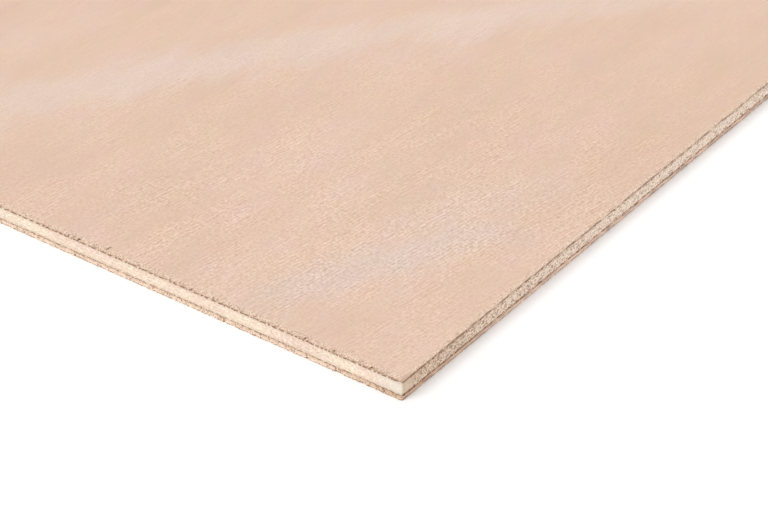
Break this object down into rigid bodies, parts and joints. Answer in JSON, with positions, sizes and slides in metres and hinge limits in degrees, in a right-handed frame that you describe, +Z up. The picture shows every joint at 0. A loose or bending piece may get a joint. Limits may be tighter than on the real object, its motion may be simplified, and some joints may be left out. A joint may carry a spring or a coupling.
{
  "type": "plywood sheet",
  "caption": "Thin flat plywood sheet of bonded veneers: a fine tan face, a thick cream core laid across it and a tan back, with square sawn edges.",
  "frame": {"origin": "on the surface that the sheet lies on, under the middle of the sheet", "axes": "+X along the long side and the grain of the face, +Y along the short side and the grain of the core, +Z up through the face veneer"},
  "size_m": [2.44, 1.22, 0.0036],
  "materials": {
    "face": "sanded",
    "core": "sawn",
    "back": "sanded"
  },
  "bodies": {
    "root": {"face_veneer": "face", "core_veneer": "core", "back_veneer": "back"}
  },
  "joints": []
}
